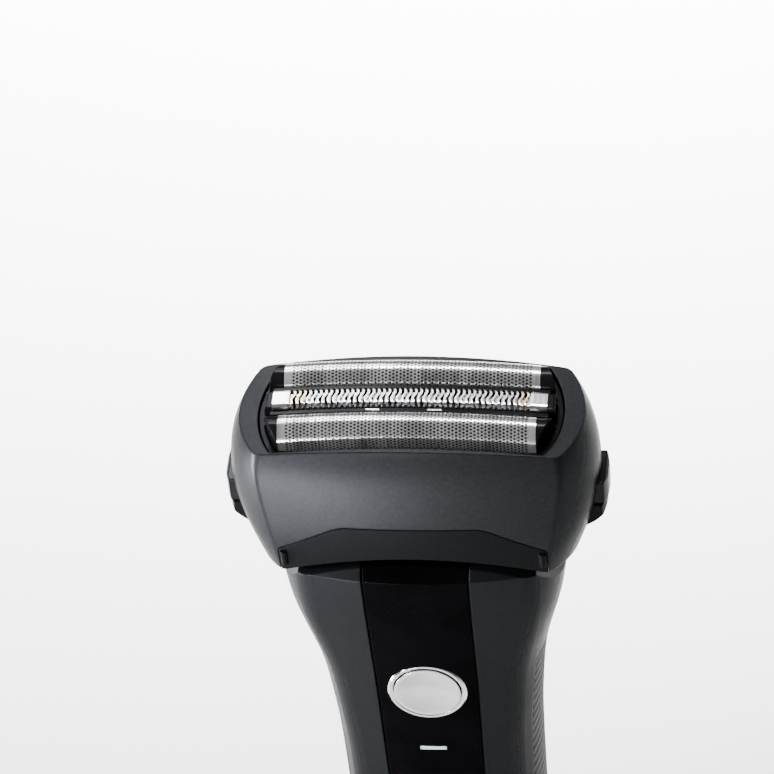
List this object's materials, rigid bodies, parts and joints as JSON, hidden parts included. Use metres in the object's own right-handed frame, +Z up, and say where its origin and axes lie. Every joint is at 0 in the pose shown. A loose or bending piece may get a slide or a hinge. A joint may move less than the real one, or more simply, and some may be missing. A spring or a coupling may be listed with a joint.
{
  "type": "foil shaver",
  "caption": "Rechargeable foil shaver with arched foils, slotted centre blade, pivoting head, lift-off foil frame, power button and pop-up trimmer, standing upright.",
  "frame": {"origin": "centre of the flat base the shaver stands on", "axes": "+Z up along the handle, -Y towards the front face with the power button, +X to the right seen from the front of the handle with +Z up"},
  "size_m": [0.0698, 0.034, 0.161],
  "materials": {
    "cover_soft_black": "soft-touch matt",
    "base_black": "matt",
    "gloss_black": "glossy",
    "foil_steel": "polished foil",
    "blade_steel": "ground",
    "clip_steel": "bright",
    "carrier_grey": "moulded",
    "frame_black": "satin gloss",
    "deck_grey": "moulded",
    "seal_rubber": "soft",
    "screw_steel": "zinc plated",
    "mover_grey": "machined",
    "magnet": "nickel plated",
    "stator": "laminated",
    "copper": "enamelled wire",
    "zinc": "die cast",
    "housing_grey": "satin matt",
    "grip_rubber": "textured",
    "chrome_trim": "bright",
    "light": "frosted clear",
    "cell_wrap": "shrink wrap",
    "nickel": "nickel strip",
    "pcb_green": "solder mask",
    "chip_black": "moulded",
    "gold_pin": "plated"
  },
  "bodies": {
    "handle": {"front_housing": "housing_grey", "rear_housing": "housing_grey", "front_panel": "gloss_black", "left_grip": "grip_rubber", "right_grip": "grip_rubber", "bottom_cap": "base_black", "charging_socket": "base_black", "charging_pins": "gold_pin", "base_screws": "screw_steel", "button_bezel": "chrome_trim", "light_guide": "light", "chassis": "carrier_grey", "battery_cell": "cell_wrap", "battery_tabs": "nickel", "circuit_board": "pcb_green", "board_components": "chip_black", "switch_dome": "nickel", "pivot_base": "base_black", "neck_boot": "seal_rubber", "swing_pins": "screw_steel", "trimmer_hinge_pin": "screw_steel"},
    "swing_frame": {"swing_yoke": "zinc"},
    "head": {"head_base": "base_black", "drive_deck": "deck_grey", "drive_seals": "seal_rubber", "deck_screws": "screw_steel", "motor_stator": "stator", "motor_coils": "copper", "tilt_bracket": "zinc", "tilt_pins": "screw_steel"},
    "foil_frame": {"head_cover": "cover_soft_black", "cassette_frame": "frame_black", "cassette_clips": "clip_steel"},
    "front_foil_unit": {"front_foil": "foil_steel", "front_foil_holders": "frame_black"},
    "centre_blade_unit": {"slit_blade": "blade_steel", "slit_blade_holders": "frame_black"},
    "rear_foil_unit": {"rear_foil": "foil_steel", "rear_foil_holders": "frame_black"},
    "outer_drive": {"outer_mover": "mover_grey", "outer_magnets": "magnet"},
    "inner_drive": {"inner_mover": "mover_grey", "inner_magnets": "magnet"},
    "front_cutter": {"front_inner_blade": "blade_steel", "front_blade_carrier": "carrier_grey"},
    "centre_cutter": {"centre_inner_blade": "blade_steel", "centre_blade_carrier": "carrier_grey"},
    "rear_cutter": {"rear_inner_blade": "blade_steel", "rear_blade_carrier": "carrier_grey"},
    "release_left": {"release_button_left": "gloss_black"},
    "release_right": {"release_button_right": "gloss_black"},
    "power": {"power_button": "chrome_trim"},
    "trimmer": {"trimmer_housing": "gloss_black", "trimmer_comb": "blade_steel"},
    "trimmer_cutter": {"trimmer_moving_blade": "blade_steel"},
    "trimmer_switch": {"trimmer_slide": "gloss_black"}
  },
  "joints": [
    {"name": "head_swing", "type": "hinge", "parent": "handle", "child": "swing_frame", "pos_m": [0, 0, 0.129], "axis": [0, 1, 0], "range_deg": [-3.5, 3.5], "stiffness_Nm_per_rad": 0.6},
    {"name": "head_tilt", "type": "hinge", "parent": "swing_frame", "child": "head", "pos_m": [0, 0, 0.129], "axis": [1, 0, 0], "range_deg": [-4, 4], "stiffness_Nm_per_rad": 0.6},
    {"name": "foil_frame_lift", "type": "slide", "parent": "head", "child": "foil_frame", "axis": [0, 0, 1], "range_m": [0, 0.022]},
    {"name": "front_foil_float", "type": "slide", "parent": "foil_frame", "child": "front_foil_unit", "axis": [0, 0, -1], "range_m": [0, 0.001], "stiffness_N_per_m": 200, "springref_m": -0.001},
    {"name": "centre_blade_float", "type": "slide", "parent": "foil_frame", "child": "centre_blade_unit", "axis": [0, 0, -1], "range_m": [0, 0.001], "stiffness_N_per_m": 200, "springref_m": -0.001},
    {"name": "rear_foil_float", "type": "slide", "parent": "foil_frame", "child": "rear_foil_unit", "axis": [0, 0, -1], "range_m": [0, 0.001], "stiffness_N_per_m": 200, "springref_m": -0.001},
    {"name": "outer_drive_stroke", "type": "slide", "parent": "head", "child": "outer_drive", "axis": [1, 0, 0], "range_m": [-0.0012, 0.0012], "stiffness_N_per_m": 800},
    {"name": "inner_drive_stroke", "type": "slide", "parent": "head", "child": "inner_drive", "axis": [1, 0, 0], "range_m": [-0.0012, 0.0012], "stiffness_N_per_m": 800},
    {"name": "front_cutter_float", "type": "slide", "parent": "outer_drive", "child": "front_cutter", "axis": [0, 0, -1], "range_m": [0, 0.001]},
    {"name": "centre_cutter_float", "type": "slide", "parent": "inner_drive", "child": "centre_cutter", "axis": [0, 0, -1], "range_m": [0, 0.001]},
    {"name": "rear_cutter_float", "type": "slide", "parent": "outer_drive", "child": "rear_cutter", "axis": [0, 0, -1], "range_m": [0, 0.001]},
    {"name": "release_left_press", "type": "slide", "parent": "head", "child": "release_left", "axis": [1, 0, 0], "range_m": [0, 0.0012], "stiffness_N_per_m": 400},
    {"name": "release_right_press", "type": "slide", "parent": "head", "child": "release_right", "axis": [-1, 0, 0], "range_m": [0, 0.0012], "stiffness_N_per_m": 400},
    {"name": "power_press", "type": "slide", "parent": "handle", "child": "power", "axis": [0, 1, 0], "range_m": [0, 0.0007], "stiffness_N_per_m": 700},
    {"name": "trimmer_hinge", "type": "hinge", "parent": "handle", "child": "trimmer", "pos_m": [0, 0.013, 0.0805], "axis": [-1, 0, 0], "range_deg": [0, 35]},
    {"name": "trimmer_stroke", "type": "slide", "parent": "trimmer", "child": "trimmer_cutter", "axis": [1, 0, 0], "range_m": [-0.0005, 0.0005], "stiffness_N_per_m": 300},
    {"name": "trimmer_switch_slide", "type": "slide", "parent": "handle", "child": "trimmer_switch", "axis": [0, 0, 1], "range_m": [0, 0.005]}
  ],
  "couplings": [
    {"joint": "front_cutter_float", "follows": "front_foil_float", "ratio": 1},
    {"joint": "centre_cutter_float", "follows": "centre_blade_float", "ratio": 1},
    {"joint": "rear_cutter_float", "follows": "rear_foil_float", "ratio": 1},
    {"joint": "inner_drive_stroke", "follows": "outer_drive_stroke", "ratio": -1},
    {"joint": "trimmer_switch_slide", "follows": "trimmer_hinge", "m_per_rad": 0.0075}
  ]
}
